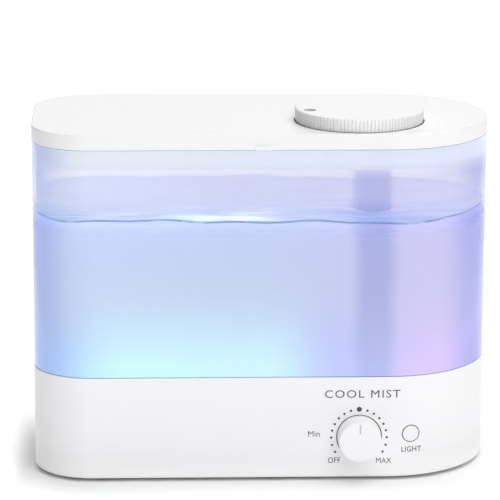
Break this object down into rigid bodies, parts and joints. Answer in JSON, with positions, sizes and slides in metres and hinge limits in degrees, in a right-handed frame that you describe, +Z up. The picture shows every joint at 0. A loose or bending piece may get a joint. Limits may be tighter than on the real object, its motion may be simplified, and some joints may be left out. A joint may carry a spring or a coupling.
{
  "type": "cool mist humidifier",
  "caption": "Table-top cool mist humidifier: clear D-shaped water tank on a low white base with a dial and light button, lift-off lid with a turning mist nozzle.",
  "frame": {"origin": "on the surface the feet stand on, below the middle of the object's outline box", "axes": "+X to the right seen from the dial side, +Y from the dial side to the back, +Z up"},
  "size_m": [0.265, 0.1304, 0.2131],
  "materials": {
    "white_shell": "satin moulded plastic",
    "white_inner": "plain moulded plastic",
    "white_knob": "satin moulded plastic",
    "white_skirt": "translucent white plastic",
    "clear_tank": "clear, slightly milky plastic",
    "clear_chimney": "tinted clear plastic",
    "clear_lens": "clear plastic",
    "led_lamp": "epoxy lamp",
    "grey_rubber": "matt",
    "dark_rubber": "matt",
    "screw_steel": "plain",
    "bare_aluminium": "extruded",
    "transducer_metal": "plated ceramic disc",
    "circuit_board": "solder mask",
    "black_component": "moulded plastic",
    "copper_coil": "enamelled wire",
    "filter_foam": "open foam"
  },
  "bodies": {
    "base": {"base_housing": "white_shell", "base_deck": "white_inner", "water_basin": "white_inner", "base_bottom_cover": "white_inner", "rubber_feet": "grey_rubber", "bottom_screws": "screw_steel", "air_filter": "filter_foam", "transducer_disc": "transducer_metal", "transducer_seal": "dark_rubber", "transducer_clamp": "bare_aluminium", "clamp_screws": "screw_steel", "driver_board": "circuit_board", "board_screws": "screw_steel", "driver_heatsink": "bare_aluminium", "driver_transistor": "black_component", "driver_capacitors": "black_component", "driver_coil": "copper_coil", "driver_sockets": "white_inner", "fan_housing": "black_component", "fan_cover": "black_component", "fan_motor": "screw_steel", "fan_screws": "screw_steel", "air_duct": "white_inner", "lamp_boards": "circuit_board", "leds": "led_lamp", "lamp_lenses": "clear_lens", "control_board": "circuit_board", "control_screws": "screw_steel", "dial_potentiometer": "black_component", "light_switch": "black_component", "power_jack": "black_component", "float_retainer": "white_inner", "reed_sensor": "black_component"},
    "tank": {"tank_shell": "clear_tank", "mist_chimney": "clear_chimney", "chimney_seal": "dark_rubber", "chimney_nut": "white_inner", "valve_housing": "white_inner", "valve_cap": "white_inner", "valve_spring": "screw_steel"},
    "valve": {"valve_plunger": "white_inner", "valve_seal": "dark_rubber"},
    "lid": {"lid_shell": "white_shell", "lid_inner_skirt": "white_skirt", "lid_mist_duct": "white_skirt"},
    "nozzle": {"nozzle_cap": "white_shell", "nozzle_base": "white_shell", "nozzle_clip": "white_inner"},
    "knob": {"mist_knob": "white_knob", "dial_shaft": "bare_aluminium"},
    "button": {"light_button": "white_knob"},
    "fan_rotor": {"fan_impeller": "black_component", "fan_shaft": "screw_steel"},
    "float": {"water_float": "white_inner", "float_magnet": "black_component"}
  },
  "joints": [
    {"name": "tank_lift", "type": "slide", "parent": "base", "child": "tank", "axis": [0, 0, 1], "range_m": [0, 0.08]},
    {"name": "valve_stroke", "type": "slide", "parent": "tank", "child": "valve", "axis": [0, 0, 1], "range_m": [-0.004, 0], "deforming": ["valve_spring"]},
    {"name": "lid_lift", "type": "slide", "parent": "tank", "child": "lid", "axis": [0, 0, 1], "range_m": [0, 0.06]},
    {"name": "nozzle_turn", "type": "hinge", "parent": "lid", "child": "nozzle", "pos_m": [0.0565, -0.0138, 0.2], "axis": [0, 0, 1], "continuous": true},
    {"name": "mist_dial_turn", "type": "hinge", "parent": "base", "child": "knob", "pos_m": [0.0558, -0.0548, 0.0266], "axis": [0, 1, 0], "range_deg": [-135, 135]},
    {"name": "light_button_press", "type": "slide", "parent": "base", "child": "button", "axis": [0, 1, 0], "range_m": [0, 0.0008], "stiffness_N_per_m": 900},
    {"name": "fan_spin", "type": "hinge", "parent": "base", "child": "fan_rotor", "pos_m": [-0.08, 0.0052, 0.036], "axis": [0, 0, 1], "continuous": true},
    {"name": "float_rise", "type": "slide", "parent": "base", "child": "float", "axis": [0, 0, 1], "range_m": [0, 0.006]}
  ],
  "couplings": [
    {"joint": "valve_stroke", "follows": "tank_lift", "ratio": -0.05}
  ]
}
